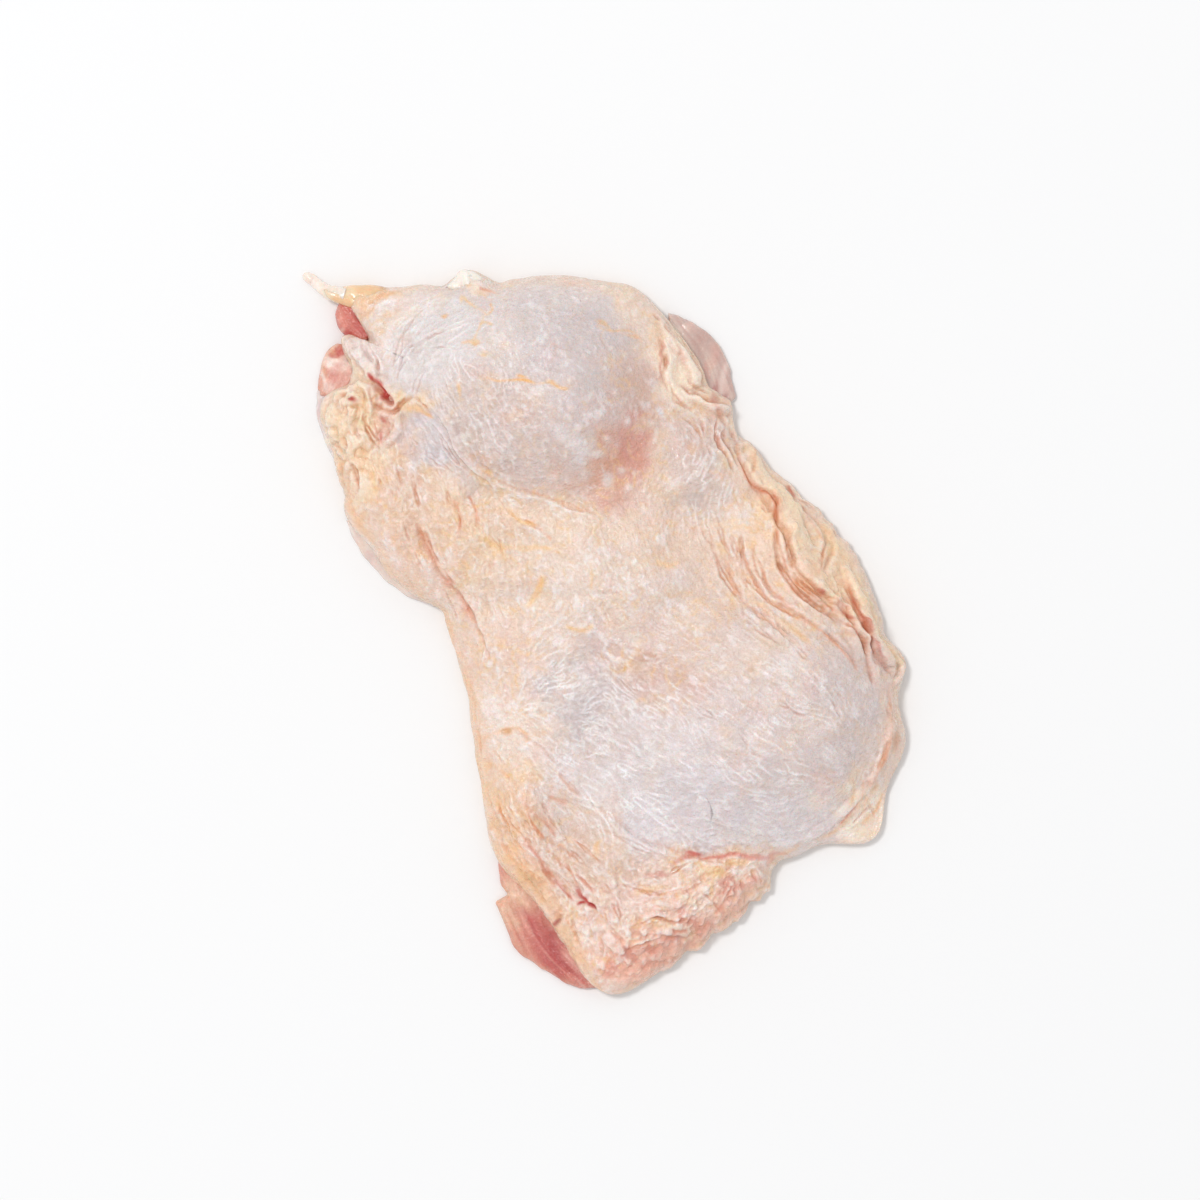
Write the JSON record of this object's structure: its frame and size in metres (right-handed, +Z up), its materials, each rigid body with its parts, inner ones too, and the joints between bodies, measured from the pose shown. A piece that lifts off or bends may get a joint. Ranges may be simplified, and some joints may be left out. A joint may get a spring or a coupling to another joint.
{
  "type": "raw boneless chicken thigh",
  "caption": "Raw boned chicken thigh lying skin side up: soft two-lobed lean meat under draped skin that folds at one side and leaves a muscle end bare at a corner.",
  "frame": {"origin": "on the resting plane, below the middle of the piece's footprint", "axes": "+Z up through the skin side, +Y along the length towards the lobe with the sinew strand, +X towards the side with the long skin folds"},
  "size_m": [0.1246, 0.2074, 0.0312],
  "materials": {
    "meat": "moist satin",
    "skin": "moist satin"
  },
  "bodies": {
    "root": {"meat": "meat", "skin": "skin"}
  },
  "joints": []
}
